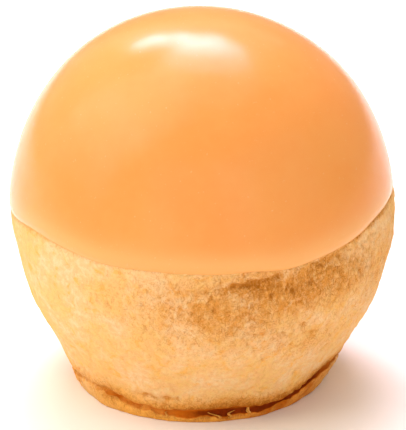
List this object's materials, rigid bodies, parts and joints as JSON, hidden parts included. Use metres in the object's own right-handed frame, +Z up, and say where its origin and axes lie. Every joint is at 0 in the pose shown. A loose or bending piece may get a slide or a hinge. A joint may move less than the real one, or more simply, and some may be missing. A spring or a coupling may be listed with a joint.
{
  "type": "profiterole",
  "caption": "Round iced profiterole: a baked choux bun that tapers to a flat base, its upper half under a smooth glossy cap of caramel icing.",
  "frame": {"origin": "on the surface that the bun stands on, at the middle of its flat underside", "axes": "+Z up through the bun and its icing; -Y is the side that the picture shows; +X to the right of that view"},
  "size_m": [0.0484, 0.0484, 0.0473],
  "materials": {
    "baked_choux": "matte, fine-grained baked crust, browned at the foot",
    "caramel_icing": "smooth glossy set icing, opaque"
  },
  "bodies": {
    "root": {"choux_bun": "baked_choux", "icing_cap": "caramel_icing"}
  },
  "joints": []
}
